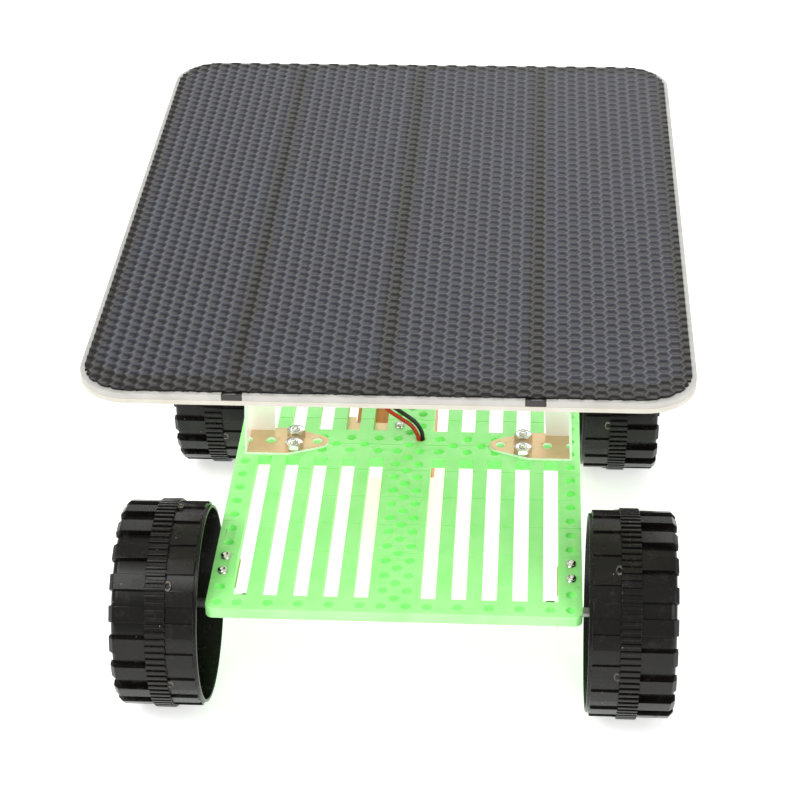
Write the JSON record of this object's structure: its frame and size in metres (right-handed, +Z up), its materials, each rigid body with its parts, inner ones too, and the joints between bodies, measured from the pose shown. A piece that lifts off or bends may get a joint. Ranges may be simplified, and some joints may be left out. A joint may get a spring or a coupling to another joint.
{
  "type": "solar robot kit",
  "caption": "Small rover kit: solar panel held on two sheet brackets above a perforated plate, with ribbed plastic wheels, a geared rear axle and a twin lead.",
  "frame": {"origin": "on the ground, under the centre of the model's box", "axes": "+X to the right, +Y to the rear (the driven axle's end), +Z up; both axles run along X"},
  "size_m": [0.114, 0.144, 0.0919],
  "materials": {
    "green_plate": "translucent neon plastic, satin",
    "panel_cover": "embossed film, honeycomb texture",
    "panel_base": "cream board",
    "panel_core": "milled board",
    "cell": "dark blue silicon",
    "black_plastic": "satin",
    "foam": "white foam tape",
    "yellow_zinc": "yellow zinc plated sheet",
    "bright_steel": "nickel plated",
    "tyre_plastic": "moulded black plastic, satin",
    "orange_plastic": "gloss",
    "gear_plastic": "white acetal",
    "brass": "machined",
    "red_wire": "soft insulation",
    "black_wire": "soft insulation"
  },
  "bodies": {
    "chassis": {"chassis_plate": "green_plate", "panel_base": "panel_base", "panel_core": "panel_core", "panel_cover": "panel_cover", "cell_strip_1": "cell", "cell_strip_2": "cell", "cell_strip_3": "cell", "cell_strip_4": "cell", "ribbon_end_left": "black_plastic", "ribbon_end_right": "black_plastic", "junction_cap": "black_plastic", "motor_end_cap": "black_plastic", "panel_bracket_left": "yellow_zinc", "panel_bracket_right": "yellow_zinc", "axle_bracket_front_left": "yellow_zinc", "axle_bracket_front_right": "yellow_zinc", "axle_bracket_rear_left": "yellow_zinc", "axle_bracket_rear_right": "yellow_zinc", "motor_bracket": "yellow_zinc", "foam_pad_left": "foam", "foam_pad_right": "foam", "panel_screws_left": "bright_steel", "panel_screws_right": "bright_steel", "panel_nuts_left": "bright_steel", "panel_nuts_right": "bright_steel", "axle_screws_front_left": "bright_steel", "axle_screws_front_right": "bright_steel", "axle_screws_rear_left": "bright_steel", "axle_screws_rear_right": "bright_steel", "motor_bracket_screw": "bright_steel", "gearbox_screws": "bright_steel", "motor_can": "bright_steel", "gear_pin": "bright_steel", "gearbox_shell_left": "orange_plastic", "gearbox_shell_right": "orange_plastic", "motor_terminals": "brass", "lead_red": "red_wire", "lead_black": "black_wire"},
    "front_wheelset": {"front_axle": "bright_steel", "wheel_front_left": "tyre_plastic", "wheel_front_right": "tyre_plastic", "collar_front_left": "black_plastic", "collar_front_right": "black_plastic"},
    "rear_wheelset": {"rear_axle": "bright_steel", "wheel_rear_left": "tyre_plastic", "wheel_rear_right": "tyre_plastic", "collar_rear_left": "black_plastic", "collar_rear_right": "black_plastic", "axle_gear": "gear_plastic"},
    "compound_gear": {"compound_gear": "gear_plastic"},
    "motor_rotor": {"motor_shaft": "bright_steel", "motor_pinion": "brass"}
  },
  "joints": [
    {"name": "front_axle_spin", "type": "hinge", "parent": "chassis", "child": "front_wheelset", "pos_m": [0, -0.045, 0.0218], "axis": [1, 0, 0], "continuous": true},
    {"name": "rear_axle_spin", "type": "hinge", "parent": "chassis", "child": "rear_wheelset", "pos_m": [0, 0.045, 0.0218], "axis": [1, 0, 0], "continuous": true},
    {"name": "compound_gear_spin", "type": "hinge", "parent": "chassis", "child": "compound_gear", "pos_m": [-0.009, 0.03669, 0.02001], "axis": [1, 0, 0], "continuous": true},
    {"name": "motor_spin", "type": "hinge", "parent": "chassis", "child": "motor_rotor", "pos_m": [-0.004, 0.02741, 0.018], "axis": [1, 0, 0], "continuous": true}
  ],
  "couplings": [
    {"joint": "compound_gear_spin", "follows": "rear_axle_spin", "ratio": -2.4},
    {"joint": "motor_spin", "follows": "rear_axle_spin", "ratio": 6.72}
  ]
}
